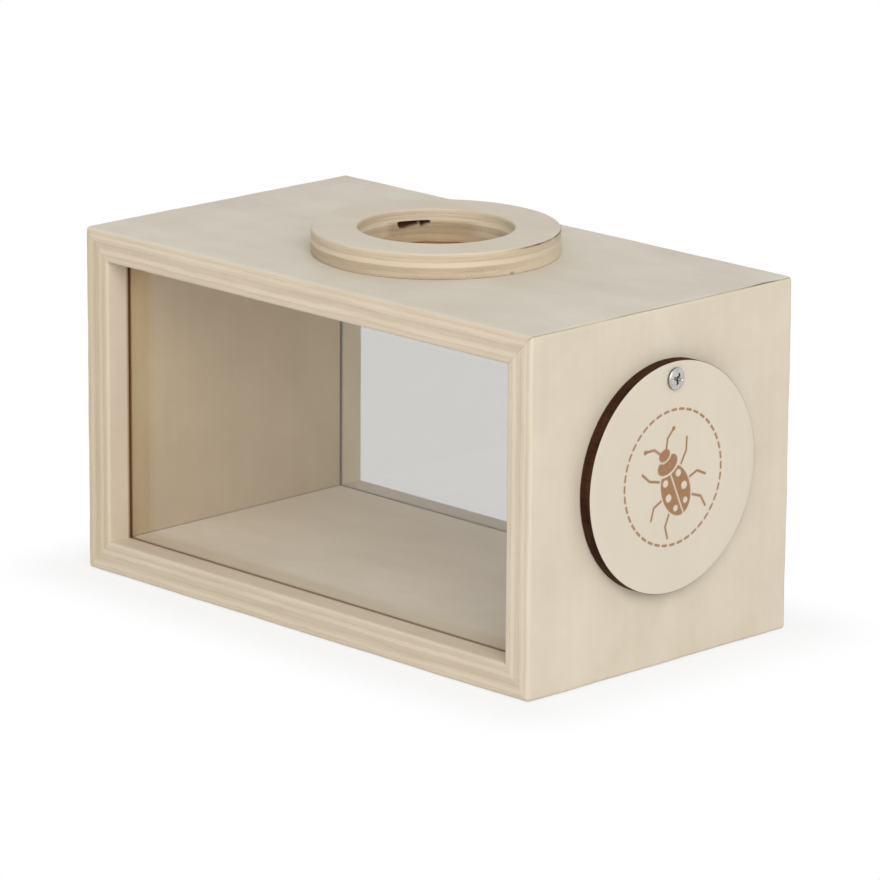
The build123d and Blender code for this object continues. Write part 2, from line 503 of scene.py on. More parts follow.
def zincSteel():
    # bright zinc with a fine uneven grain
    material, tree, shader = newMaterial("zincSteel")
    f = zincFinish
    grain = stretched(tree, placeInMm(tree), (1.5, 1.5, 1.5), detail=5.0, roughness=0.7)
    colour = mixColour(tree, between(tree, grain, 0.35, 0.7), f["bright"], f["grey"])
    # painted shade in the recess and round the rim
    feed(tree, shader.inputs, {
        "Base Color": mixColour(tree, attribute(tree, "rimAndRecessShade"), colour, f["rimAndRecessShade"]),
        "Metallic": 1.0,
        "Normal": relief(tree, grain, 0.3, f["bump"]),
        "Roughness": between(tree, grain, 0.3, 0.75, 0.2, 0.42)})
    return material


panelMaterial = panelPly()
ringMaterial = ringPly()
coverMaterial = coverPly()
paneMaterial = clearPlastic("clearSheet", *plasticFinish["pane"])
lensMaterial = clearPlastic("lensClear", *plasticFinish["lens"])
screwMaterial = zincSteel()
print("finishes made")


frameShape = {
    "thickness": 10.0,
    "outerRound": 1.1,
    "roundWander": 0.28,  # how far the rounding strays, mm
    "wornCorner": 0.7,  # more rounding at the lower front corner on the cover's side, mm
    "windowRound": 1.0,
    "sawnFade": 0.9,  # mm over which a face turns to sawn edge
    "grooveMiddle": 45.7,
    "grooveWidth": 2.3,
    "grooveDepth": 4.0,
    "holeRound": 0.5,
    "jointGap": 0.02,
    "innerGap": 0.16,
}

frameNodes = ("top_panel", "bottom_panel", "left_panel", "right_panel")
allLow = np.min([nodeBox(n)[0] for n in frameNodes], axis=0)
allHigh = np.max([nodeBox(n)[1] for n in frameNodes], axis=0)
halfDepth = allHigh[1]


def roundCorners(p, low, high, r):
    # q is p held inside the box shrunk by r, d = p - q, and p' = q + d * max|d| / |d|
    q = np.clip(p, low + r, high - r)
    d = p - q
    length = np.linalg.norm(d, axis=-1, keepdims=True)
    reach = np.abs(d).max(axis=-1, keepdims=True)
    return q + d * reach / np.maximum(length, 1e-9)


def softenCorners(p):
    # the rounding of the frame strays along its edges and grows towards the worn corner
    s = frameShape
    r = s["outerRound"] + s["roundWander"] * wander(p.sum(axis=-1) + 40 * np.sign(p[..., 0]), 3)
    corner = np.array([allHigh[0], allLow[1], allLow[2]])
    r = r + s["wornCorner"] * np.exp(-((p - corner) ** 2).sum(axis=-1) / 72)
    return roundCorners(p, allLow, allHigh, r[..., None])


def panelProfile():
    # closed loop of y and depth below the outer face, with its masks
    t = frameShape["thickness"]
    soft = frameShape["sawnFade"]
    g = frameShape["grooveMiddle"]
    w = frameShape["grooveWidth"] / 2
    bottom = t - frameShape["grooveDepth"]
    outer = spread(-halfDepth, halfDepth, 36)
    inner = spread(g - w, -(g - w), 30)
    side = spread(0, t, 11)
    lip = np.append(nearEdge[:-1], np.linspace(3, halfDepth - g - w, 6))
    down = np.linspace(t, bottom, 6)
    floor = np.linspace(w, -w, 4)
    rim = 0.5 * smoothStep(soft, 0, halfDepth - np.abs(outer))
    front = 0.5 + 0.5 * smoothStep(0, soft, np.minimum(side, t - side))
    fade = 0.5 * smoothStep(soft, 0, lip)
    # points of y, depth and edge mask: rear edge, rear reveal and the three sides of the rear groove
    rear = [
        points(halfDepth, side, front),
        points(halfDepth - lip, t, fade),
        points(g + w, down, 1),
        points(g + floor, bottom, 1),
        points(g - w, down[::-1], 1),
    ]
    # outer face, rear, inside, and the rear mirrored to the front
    front = [part[::-1] * [-1, 1, 1] for part in rear[::-1]]
    loop = [points(outer, 0, rim), *rear, points(inner, t, 0), *front]
    sizes = [len(part) for part in loop]
    starts = np.cumsum([0] + sizes)
    y, depth, edge = np.concatenate(loop).T
    number = np.repeat(np.arange(len(loop)), sizes)
    # masks of the grooves, for painted shade, and of the inner face and the rear reveal, for painted light and shade
    groove, inside, behind = (np.isin(number, wanted) * 1.0 for wanted in ((3, 4, 5, 7, 8, 9), 6, 2))
    # the window edges are rounded too
    low, high = np.array([-halfDepth, -t]), np.array([halfDepth, t])
    y, depth = roundCorners(points(y, depth), low, high, frameShape["windowRound"]).T
    return y, depth, (edge, groove, inside, behind), starts


def panelGrid(halfLength, cells, jointGap):
    # P(u, s) = ((2u - 1) * (halfLength - depth(s)), y(s), depth(s)): the profile carried between two mitre planes
    y, depth, masks, starts = panelProfile()
    along = spread(-halfLength, halfLength, cells)[:, None] / halfLength
    a = along * (halfLength - depth - jointGap(y, depth, np.sign(along)))
    return points(a, y, depth), masks, starts


def windowLoop(i0, i1, j0, j1):
    # index arrays round a window of a grid, corner by corner
    stepJ = 1 if j1 > j0 else -1
    sides = [
        [(i, j0) for i in range(i0, i1)],
        [(i1, j) for j in range(j0, j1, stepJ)],
        [(i, j1) for i in range(i1, i0, -1)],
        [(i0, j) for j in range(j1, j0, -stepJ)],
    ]
    return tuple(np.array(sum(sides, [])).T)


def cutWindow(quads, columns, i0, i1, j0, j1):
    # the quads of a grid without those in a window
    i, j = quads[:, 0] // columns, quads[:, 0] % columns
    return quads[(i < i0) | (i >= i1) | (j < j0) | (j >= j1)]


def stacked(levels, rows):
    # P(i, j) = (level i, rows(i, j))
    return np.concatenate([np.broadcast_to(levels[:, None, None], rows.shape[:2] + (1,)), rows], axis=-1)


def boreProfile(radius, lowerRadius=None, ledge=None):
    # (radius, depth, edge mask) down a hole: rounded rims, and a ledge where one is asked for
    t = frameShape["thickness"]
    r = frameShape["holeRound"]
    turn = np.linspace(0, np.pi / 2, 5)
    out, down, mask = r - r * np.sin(turn), r - r * np.cos(turn), np.sin(turn) ** 2
    if ledge is None:
        lowerRadius = radius
        parts = [points(radius + out, down, mask), points(radius, np.linspace(r, t - r, 11)[1:-1], 1)]
    else:
        parts = [
            points(radius, np.append(0, np.linspace(0.3, ledge, 29)), 1),
            points(lowerRadius, np.linspace(ledge, t - r, 6)[:-1], 1)]
    parts.append(points(lowerRadius + out, t - down, mask)[::-1])
    return np.concatenate(parts).T


def holeTunnel(outerLoop, innerLoop, centre, profile):
    # rows from the outer window to the hole's rim, down the bore, and out to the inner window
    radii, depths, edge = profile
    angle = np.arctan2(outerLoop[:, 1] - centre[1], outerLoop[:, 0] - centre[0])
    ring = points(np.cos(angle), np.sin(angle))
    bore = stacked(depths, np.array(centre) + radii[:, None, None] * ring)[..., [1, 2, 0]]
    share = np.array([0, 0.3, 0.55, 0.75, 0.9])[:, None, None]
    outside = outerLoop + (bore[0] - outerLoop) * share
    inside = innerLoop + (bore[-1] - innerLoop) * share[::-1]
    return np.concatenate([outside, bore, inside]), np.pad(edge, 5)


def makePanel(name, node, board, hole=None):
    board = {**plainBoard, **board}
    deep, side = board["deep"], board["side"]
    long = 2 - deep
    middle, halfLength = (allHigh + allLow)[long] / 2, (allHigh - allLow)[long] / 2
    outerFace = (allLow if side < 0 else allHigh)[deep]
    grid, masks, starts = panelGrid(halfLength, board["cells"], board["gap"])
    rows, columns = grid.shape[:2]
    quads = gridQuads(grid, wrapColumns=True)
    parts = []
    if hole:
        back, on, reach = hole["cells"]
        i0, i1 = (rows - 1) // 2 - back, (rows - 1) // 2 + on
        middleOut = starts[0] + (starts[1] - starts[0] - 1) // 2
        middleIn = starts[6] + (starts[7] - starts[6] - 1) // 2
        for j in (middleOut, middleIn):
            quads = cutWindow(quads, columns, i0, i1, j - reach, j + reach)
        outer = grid[windowLoop(i0, i1, middleOut - reach, middleOut + reach)]
        inner = grid[windowLoop(i0, i1, middleIn + reach, middleIn - reach)]
        tunnel, edge = holeTunnel(outer, inner, hole["centre"], hole["profile"])
        edge = edge[:, None]
        inside = np.arange(len(edge))[:, None] >= len(edge) - 5
        # painted shadow line round the viewing hole, carried in the painted shade mask
        darkened = shadowLineMask(tunnel) * edge * hole["hasShadowLine"]
        parts.append((tunnel, gridQuads(tunnel, wrapColumns=True), [edge, darkened, inside, np.zeros(1), edge]))
    parts.insert(0, (grid, quads, [*masks, np.zeros(columns)]))
    caps = [np.arange(columns)[::-1], np.arange(columns) + (rows - 1) * columns]
    shift = np.array([311.0, 173.0, 0.0]) * board["seed"]
    outside, sawn, behindLightTone, boreShadeTone = (np.array(board[k]) for k in ("outside", "sawn", "behind", "bore"))
    first, last = np.array(board["inside"])
    grids = []
    for p, q, masks in parts:
        masks = (np.broadcast_to(m, p.shape[:2]).reshape(-1, 1) for m in masks)
        edge, groove, inside, behind, bore = masks
        along, y, depth = p.reshape(-1, 3).T
        placed = points(middle + along, y, outerFace - side * depth)
        placed = softenCorners(placed if long == 0 else placed[:, ::-1])
        within = first + (last - first) * (along[:, None] / halfLength + 1) / 2
        # the wood's own tone outside and on the sawn edge, then painted light and shade below
        toneAndLight = outside + (sawn - outside) * edge
        # painted light and shade on the inner faces, from one end to the other
        toneAndLight = toneAndLight + (within - toneAndLight) * inside
        # painted light on the rear reveal behind the rear pane
        toneAndLight = toneAndLight * (1 + (behindLightTone - 1) * behind)
        # painted shade in the bores
        toneAndLight = toneAndLight + (boreShadeTone - toneAndLight) * bore
        # painted shade along the outer line of the upper joint on the cover's side
        toneAndLight = toneAndLight * (1 - jointLineShade(placed)[:, None] * (1 - np.array(topJoint["jointShadeTone"])))
        # grain: along it, across it, and the depth below the outer face
        grain = points(placed[:, long], placed[:, 1], side * (outerFace - placed[:, deep])) + shift
        grids.append((placed, q, {"grain": grain, "edge": edge, "groove": groove, "toneAndLight": toneAndLight}))
    return makePiece(name, grids, "box", [node], panelMaterial, extra=caps)


def innerGap(y, depth, end):
    # the mitres open a little towards the inner corner, where a thin dark line shows
    width = frameShape["innerGap"] * (depth / frameShape["thickness"]) ** 3
    g = frameShape["grooveMiddle"]
    return frameShape["jointGap"] + width * smoothStep(g + 1.5, g - 1.5, np.abs(y))


topJoint = {
    "gap": 0.04,  # mm
    "backGap": 0.07,  # more towards the back
    "chipAt": 43.5,  # along Y
    "chipReach": 4.5,
    "chipGap": 0.36,
    # painted shade along the outer line of that joint
    "jointShadeWidth": 0.34,
    "jointShadeTone": (0.62, 0.57, 0.48),
}


def openJoint(y, depth, end):
    # the upper joint on the cover's side stands a little open towards the back and has a chip there
    s = topJoint
    chip = np.exp(-((y - s["chipAt"]) / s["chipReach"]) ** 4) * (1 + 0.4 * np.sin(y * 2.2))
    wide = s["gap"] + s["backGap"] * smoothStep(-52, -10, y) * (1 + wander(y, 5)) + s["chipGap"] * chip
    return np.where(end > 0, wide, innerGap(y, depth, end))


def jointLineShade(p):
    # painted shade: 1 on the outer line of that joint, 0 half a millimetre away from it
    right, top = allHigh[0] - p[:, 0], allHigh[2] - p[:, 2]
    line = np.exp(-((right - top) / topJoint["jointShadeWidth"]) ** 2) * smoothStep(2.4, 1.0, np.hypot(right, top))
    return line * np.clip(0.75 + 0.4 * wander(p[:, 1], 9), 0, 1)


# where the painted shadow line lies in the viewing hole
shadowLineShape = {
    "starts": (108, 116),  # degrees round the viewing hole
    "ends": (168, 156),
    "depth": 2.7,  # mm
    "width": 0.42,
}


def shadowLineMask(tunnel):
    # painted shadow: a thin dark line round part of the viewing hole, just above the lens
    s = shadowLineShape
    angle = np.degrees(np.arctan2(tunnel[..., 1], tunnel[..., 0] - holes["viewAt"]))
    line = (tunnel[..., 2] - s["depth"] - 0.12 * np.sin(angle / 4)) / s["width"]
    return smoothStep(*s["starts"], angle) * smoothStep(*s["ends"], angle) * np.exp(-line ** 2)


halfHeight = (allHigh[2] - allLow[2]) / 2
holes = {
    "viewAt": 1.2,  # of the viewing hole, lens and ring from the middle, towards the cover
    "accessHeight": 58.8,
    "pivotHeight": 88.9,
    "accessRadius": 22.5,
    "viewRadius": 24.0,
    "ledgeRadius": 22.5,
    "ledgeDepth": 5.9,
}
viewHole = {
    "centre": (holes["viewAt"], 0.0),
    "profile": boreProfile(holes["viewRadius"], holes["ledgeRadius"], holes["ledgeDepth"]),
    "cells": (11, 11, 11),  # of the grid, cut out towards its start, towards its end and to each side
    "hasShadowLine": 1.0,
}
accessHole = {
    "centre": (holes["accessHeight"] - halfHeight, 0.0),
    "profile": boreProfile(holes["accessRadius"]),
    "cells": (10, 13, 9),
    "hasShadowLine": 0.0,
}
plainBoard = {
    "gap": innerGap,
    # how the wood's own tone differs from the common finish, and painted light and shade, as red, green and blue
    # shares
    "outside": (1.0, 1.0, 1.0),
    # painted light on the rear reveal
    "behind": (1.15, 1.17, 1.25),  # behind the rear pane
    "bore": (1.0, 1.0, 1.0),
}
# deep: the axis through the board; side: of the box, on that axis; cells: of the grid; seed: of the grain;
# inside: painted light and shade on the inner face, at its two ends
boards = {
    "top": {
        "deep": 2, "side": 1, "cells": 64, "seed": 1,
        "gap": openJoint,
        # painted light: a cooler top face, for the light that falls on it
        "outside": (0.97, 1.03, 1.1),
        "sawn": (0.99, 0.98, 1.0),
        # painted light: a lighter inner face
        "inside": ((1.05, 1.04, 1.0), (1.05, 1.04, 1.0)),
        # painted shade in the bore of the viewing hole
        "bore": (0.66, 0.56, 0.46),
    },
    "bottom": {
        "deep": 2, "side": -1, "cells": 64, "seed": 2,
        "sawn": (0.96, 0.96, 0.98),
        # painted light: lighter and cooler towards the right
        "inside": ((1.19, 1.22, 1.26), (1.28, 1.36, 1.46)),
    },
    "left": {
        "deep": 0, "side": -1, "cells": 36, "seed": 3,
        "sawn": (0.92, 0.91, 0.87),
        # painted light: darker and warmer low on the inner face, lighter at the top
        "inside": ((0.74, 0.68, 0.54), (1.1, 0.99, 0.76)),
        # painted light behind the rear pane
        "behind": (1.32, 1.3, 1.16),
    },
    "right": {
        "deep": 0, "side": 1, "cells": 36, "seed": 4,
        "outside": (1.0, 1.02, 1.04),
        "sawn": (0.99, 1.0, 1.03),
        # painted light: a warmer inner face
        "inside": ((1.0, 0.96, 0.88), (1.0, 0.96, 0.88)),
        # painted shade in the bore of the access hole
        "bore": (0.7, 0.6, 0.5),
    },
}


makePanel("topPanel", "top_panel", boards["top"], viewHole)
makePanel("bottomPanel", "bottom_panel", boards["bottom"])
makePanel("leftPanel", "left_panel", boards["left"])
makePanel("rightPanel", "right_panel", boards["right"], accessHole)
print("panels made")


paneShape = {"edgeRound": 0.25}


def makePane(name, node):
    # six even grids of a block, with rounded edges
    low, high = nodeBox(node)
    r = paneShape["edgeRound"]
    grids = []
    for axis in range(3):
        one, two = [k for k in range(3) if k != axis]
        lines = []
        for k in (one, two):
            size = high[k] - low[k]
            steps = np.concatenate([[0, 0.12, 0.3], np.linspace(0.6, size - 0.6, 5)])
            lines.append(low[k] + np.unique(np.round(np.concatenate([steps, size - steps]), 6)))
        u, v = np.meshgrid(*lines, indexing="ij")
        for level in (low[axis], high[axis]):
            p = np.zeros(u.shape + (3,))
            p[..., one], p[..., two], p[..., axis] = u, v, level
            grids.append((roundCorners(p, low, high, r), gridQuads(u), {}))
    return makePiece(name, grids, "box", [node], paneMaterial)


makePane("frontPane", "front_pane")
makePane("rearPane", "rear_pane")
print("panes made")


def arc(centre, radius, start, stop, count):
    # centre + radius * (cos, sin) of the angles from start to stop, in degrees
    turn = np.radians(np.linspace(start, stop, count))
    return points(centre[0] + radius * np.cos(turn), centre[1] + radius * np.sin(turn))


def turned(profile, steps):
    # P(u, s) = (r(s) cos u, r(s) sin u, z(s)) for a profile of (r, z), about the origin
    turn = np.linspace(0, 2 * np.pi, steps, endpoint=False)[:, None]
    r, z = profile.T
    return points(r * np.cos(turn), r * np.sin(turn), z)


ringShape = {
    "outerRadius": 38.2,
    "boreRadius": 24.0,
    "edgeRound": 0.7,
    "footRound": 0.3,
    "steps": 360,
    "stray": 0.06,  # of the sawn side from true round, mm
    "tornDepth": 0.16,
    "tornFrom": 4.6,  # mm below the top
    "voidAt": 152.5,  # degrees round from +X, where a void in the core shows in the bore
    "voidReach": 12.0,  # degrees to each side
    "voidTop": 3.9,  # mm below the top
    "voidTall": (  # how tall, by turn from one end to the other
        (-1, 0.7), (-0.75, 0.9), (-0.6, 1.5), (-0.44, 1.4), (-0.38, 0.3), (-0.28, 0.3), (-0.22, 1.0), (0.1, 1.3),
        (0.5, 1.85), (0.9, 1.8), (1.0, 0.7)),
    "voidDepth": 2.0,
    "burntFrom": -14.0,  # degrees; the top edge is singed between these
    "burntTo": 58.0,
    "spotAt": (-7.5, 7.5),  # degrees, mm below the top
    "spotSize": (0.8, 0.3),
    # painted shade on the lower plies of the bore between these angles
    "shadeFrom": (96, 114),  # degrees
    "shadeTo": (178, 168),
    "palerAt": 45.7,
}


def makeRing():
    s = ringShape
    base, top = (corner[2] for corner in nodeBox("lens_ring"))
    outer, bore, r, foot = s["outerRadius"], s["boreRadius"], s["edgeRound"], s["footRound"]
    # each part of the profile with how sawn it is; the last point of each is left to the next
    parts = [
        (np.linspace((bore, base), (outer - foot, base), 8), [1.0] + [0.0] * 6),
        (arc((outer - foot, base + foot), foot, -90, 0, 4), np.linspace(0, 1, 3)),
        (np.linspace((outer, base + foot), (outer, top - r), 22), np.ones(21)),
        (arc((outer - r, top - r), r, 0, 90, 7), np.linspace(1, 0, 6)),
        (np.linspace((outer - r, top), (bore + r, top), 12), np.zeros(11)),
        (arc((bore + r, top - r), r, 90, 180, 7), np.linspace(0, 1, 6)),
        (np.linspace((bore, top - r), (bore, base), 26), np.ones(25)),
    ]
    p = turned(np.concatenate([part[:-1] for part, mask in parts]), s["steps"])
    edge = np.concatenate([mask for part, mask in parts])
    x, y, z = np.moveaxis(p, -1, 0)
    angle = np.arctan2(y, x)
    degrees = np.degrees(angle)
    depth = top - z
    radius = np.hypot(x, y)
    # the sawn outer side strays from true round, and its lowest ply is torn
    rim = smoothStep(outer - 1.5, outer, radius)
    fibres = np.sin(degrees * 2.9 + 9 * np.sin(depth * 2.3)) * np.cos(degrees * 1.31 + depth * 4)
    torn = rim * smoothStep(s["tornFrom"], s["tornFrom"] + 0.8, depth) * (0.5 + 0.5 * fibres)
    push = -s["stray"] * rim * (1 + wander(angle * 39, 2)) - s["tornDepth"] * torn
    # a void in the core: the bore is pushed outwards in a wedge, with a splinter left across it
    turn = (degrees - s["voidAt"]) / s["voidReach"]
    lowest = s["voidTop"] + np.interp(turn, *zip(*s["voidTall"]))
    inBore = smoothStep(bore + 0.2, bore, radius)
    void = inBore * smoothStep(1.06, 0.98, np.abs(turn)) * smoothStep(s["voidTop"] - 0.15, s["voidTop"] + 0.1, depth)
    void = void * smoothStep(lowest + 0.15, lowest - 0.1, depth)
    scale = 1 + (push + s["voidDepth"] * void) / radius
    p = points(x * scale, y * scale, z)
    # marks by angle and depth: the singed top edge, a dark spot, a paler stretch of the lower plies, and painted
    # shade on the lower plies at the far side of the bore
    start, stop = s["burntFrom"], s["burntTo"]
    singed = smoothStep(start, start + 18, degrees) * smoothStep(stop, stop - 10, degrees)
    singed = singed * rim * smoothStep(0.9, 0.45, depth) * smoothStep(0.1, 0.35, depth)
    singed = singed * (0.7 + 0.3 * wander(degrees * 2, 7))
    (spotTurn, spotDepth), (wide, tall) = s["spotAt"], s["spotSize"]
    spot = rim * np.exp(-((degrees - spotTurn) / wide) ** 2 - ((depth - spotDepth) / tall) ** 2)
    paler = 0.8 * smoothStep(0.3, 0.95, np.cos(angle - np.radians(s["palerAt"]))) * rim
    farBoreShadeMask = inBore * smoothStep(*s["shadeFrom"], degrees) * smoothStep(*s["shadeTo"], degrees)
    data = {
        "grain": points(p[..., 0] + 700, p[..., 1] + 90, depth),
        "edge": np.broadcast_to(edge, p.shape[:2]),
        # burn marks on the top edge and the spot; painted shade in the void
        "burnAndShade": np.clip(singed + spot + 0.97 * void, 0, 1),
        "paler": paler * smoothStep(4.0, 4.6, depth),
        "farBoreShadeMask": farBoreShadeMask * smoothStep(3.2, 4.2, depth),
    }
    p = p + [holes["viewAt"], 0, 0]
    quads = gridQuads(p, wrapRows=True, wrapColumns=True)
    return makePiece("lensRing", [(p, quads, data)], "box", ["lens_ring"], ringMaterial)


lensShape = {
    "domeRadius": 22.2,
    "rimRadius": 23.9,
    "rimLow": 104.1,
    "rimHigh": 106.6,
    "edgeRound": 0.3,
    "steps": 160,
}


def makeLens():
    s = lensShape
    low, high = nodeBox("magnifier_lens")
    dome, rim, under, upper, r = (s[k] for k in ("domeRadius", "rimRadius", "rimLow", "rimHigh", "edgeRound"))
    sag = high[2] - upper
    ball = (dome ** 2 + sag ** 2) / (2 * sag)
    tilt = np.degrees(np.arcsin(dome / ball))
    parts = [
        arc((0, low[2] + ball), ball, -90, -90 + tilt, 24),
        np.linspace((dome, under), (rim - r, under), 4),
        arc((rim - r, under + r), r, -90, 0, 5),
        np.linspace((rim, under + r), (rim, upper - r), 4),
        arc((rim - r, upper - r), r, 0, 90, 5),
        np.linspace((rim - r, upper), (dome, upper), 4),
        arc((0, high[2] - ball), ball, 90 - tilt, 90, 24),
    ]
    profile = np.concatenate([p[:-1] for p in parts] + [[[0, high[2]]]])
    profile[0, 0] = 0
    p = turned(profile, s["steps"]) + [holes["viewAt"], 0, 0]
    grids = [(p, gridQuads(p, wrapRows=True), {})]
    return makePiece("magnifierLens", grids, "box", ["magnifier_lens"], lensMaterial)


makeRing()
makeLens()
print("lens and ring made")


coverShape = {
    "radius": 35.3,
    "edgeRound": 0.22,
    "fineReach": 22.3,  # the engraved middle is sampled finely as far as this, mm
    "fineCells": 160,
    "coarseCells": 9,
    "pivotHole": 1.83,
    "pivotCells": (14, 3, 8),  # of the grid cut out for it: to each side, and from and to past the fine middle
    "engraveDepth": 0.12,
}


def disc(cells):
    # square (s, t) to disc: radius = the larger of |s| and |t|, angle = 45 degrees * smaller / larger in each quarter
    s, t = np.meshgrid(cells, cells, indexing="ij")
    wide = np.abs(s) > np.abs(t)
    large = np.where(wide, s, t)
    small = np.where(wide, t, s)
    turn = np.pi / 4 * small / np.where(np.abs(large) > 1e-12, large, 1)
    along, beside = large * np.cos(turn), large * np.sin(turn)
    return np.where(wide, along, beside), np.where(wide, beside, along)


beetle = {
    "tilt": 24,  # degrees
    "lift": -1.2,
    "size": 0.9,
    "wings": ((0, -3.4), (6.6, 9.4)),
    "shoulders": ((0, 6.6), (4.9, 3.1)),
    "head": ((0, 10.3), (2.7, 2.0)),
    "spots": ((3.3, 1.2, 1.25), (4.0, -4.2, 1.35), (2.5, -9.2, 1.05)),
    "limbs": (  # three legs and a feeler
        ((5.0, 3.0), (9.4, 6.2), (11.4, 10.2)),
        ((6.2, -3.0), (11.2, -3.2), (14.0, -6.4)),
        ((5.2, -8.6), (9.2, -12.2), (9.8, -16.4)),
        ((1.4, 11.6), (3.4, 14.8), (7.2, 16.4)),
    ),
    "feelerTip": 0.8,
    "line": 0.85,
    "dashRing": 20.6,
    "dashes": 40,
    "dashHalf": (0.9, 0.36),
}


def stroke(h, v, start, stop):
    # distance to the segment from start to stop
    (h0, v0), (h1, v1) = start, stop
    dh, dv = h1 - h0, v1 - v0
    k = np.clip(((h - h0) * dh + (v - v0) * dv) / (dh ** 2 + dv ** 2), 0, 1)
    return np.hypot(h - h0 - k * dh, v - v0 - k * dv)


def ovalGap(h, v, oval):
    # about the distance outside an oval, less than 0 inside it
    (ch, cv), (rh, rv) = oval
    k = np.hypot((h - ch) / rh, (v - cv) / rv)
    return (k - 1) * min(rh, rv)


def beetleMark(h, v):
    # 1 inside the engraved lines of a beetle seen from above in a ring of dashes, 0 outside
    b = beetle
    turn = np.radians(b["tilt"])
    x = (np.cos(turn) * h + np.sin(turn) * (v - b["lift"])) / b["size"]
    y = (-np.sin(turn) * h + np.cos(turn) * (v - b["lift"])) / b["size"]
    m = np.abs(x)
    half = b["line"] / 2
    wings = ovalGap(x, y, b["wings"])
    shoulders = ovalGap(x, y, b["shoulders"])
    gap = np.maximum(np.maximum(wings, 0.7 - shoulders), 0.3 - m)
    for spotH, spotV, spotR in b["spots"]:
        gap = np.maximum(gap, spotR - np.hypot(m - spotH, y - spotV))
    head = ovalGap(x, y, b["head"])
    gap = np.minimum(gap, np.minimum(head, np.maximum(shoulders, 0.55 - head)))
    for limb in b["limbs"]:
        for start, stop in zip(limb[:-1], limb[1:]):
            gap = np.minimum(gap, np.maximum(stroke(m, y, start, stop) - half, 0.5 - wings))
    tipH, tipV = b["limbs"][-1][-1]
    gap = np.minimum(gap, np.hypot(m - tipH, y - tipV) - b["feelerTip"])
    angle = np.arctan2(v, h) * b["dashes"] / (2 * np.pi)
    along = np.abs(angle - np.round(angle)) * 2 * np.pi / b["dashes"] * b["dashRing"]
    long, wide = b["dashHalf"]
    dash = np.hypot(np.maximum(along - long, 0), np.abs(np.hypot(h, v) - b["dashRing"])) - wide
    return smoothStep(0.16, -0.16, np.minimum(gap, dash))


def makeCover():
    s = coverShape
    low, high = nodeBox("swing_cover")
    centre = holes["accessHeight"]
    radius, r = s["radius"], s["edgeRound"]
    flat = radius - r
    fine = s["fineReach"]
    coarse = np.linspace(fine, flat, s["coarseCells"] + 1)[1:]
    cells = np.concatenate([-coarse[::-1], np.linspace(-fine, fine, s["fineCells"] + 1), coarse]) / flat
    across, up = disc(cells)
    h, v = across * flat, up * flat
    plane = points(h, v)
    count = len(cells)
    middle = (count - 1) // 2
    pivot = holes["pivotHeight"] - centre
    side, start, stop = s["pivotCells"]
    near = middle + s["fineCells"] // 2
    window = (middle - side, middle + side, near + start, near + stop)
    quads = cutWindow(gridQuads(h), count, *window)
    # front and back faces
    mark = beetleMark(h, v)
    front = points(high[0] - s["engraveDepth"] * mark, h, v + centre)
    back = points(low[0], h, v + centre)
    # rim
    turn = np.linspace(0, np.pi / 2, 4)
    out, down = flat + r * np.sin(turn), r - r * np.cos(turn)
    radii = np.concatenate([out, np.full(5, radius), out[::-1]])
    levels = np.concatenate([high[0] - down, np.linspace(high[0] - r, low[0] + r, 7)[1:-1], low[0] + down[::-1]])
    around = plane[windowLoop(0, count - 1, 0, count - 1)] / flat
    rim = stacked(levels, radii[:, None, None] * around) + [0, 0, centre]
    # pivot hole
    edge = plane[windowLoop(*window)]
    angle = np.arctan2(edge[:, 1] - pivot, edge[:, 0])
    circle = points(np.cos(angle), np.sin(angle)) * s["pivotHole"] + [0, pivot]
    flatRows = edge + (circle - edge) * np.array([0, 0.5, 1])[:, None, None]
    rows = np.concatenate([flatRows, flatRows[[-1] * 3], flatRows[::-1]])
    levels = np.pad(np.linspace(high[0], low[0], 5), 2, mode="edge")
    bore = stacked(levels, rows) + [0, 0, centre]
    grids = []
    for p in (front, back, rim, bore):
        q = quads if p is front or p is back else gridQuads(p, wrapColumns=True)
        engraved = mark if p is front else np.zeros(p.shape[:2])
        x, y, z = p.reshape(-1, 3).T
        grain = points(z + 950, y + 400, high[0] - x)
        darkened = np.clip((np.hypot(y, z - centre) - flat) / r * 1.6, 0, 1)
        grids.append((p, q, {"grain": grain, "edge": darkened, "engraved": engraved}))
    return makePiece("swingCover", grids, "cover", ["swing_cover"], coverMaterial)


makeCover()
print("cover made")


screwShape = {
    "headRadius": 3.32,
    "headRim": 0.5,
    "headHeight": 1.55,
    "underside": 1.8,  # below the top of the CAD head
    "recessTurn": 16,  # degrees
    "recessSpan": 4.0,
    "recessWing": 0.8,
    "recessDepth": 1.3,
    "shankRadius": 1.75,
    "headCells": 80,
}


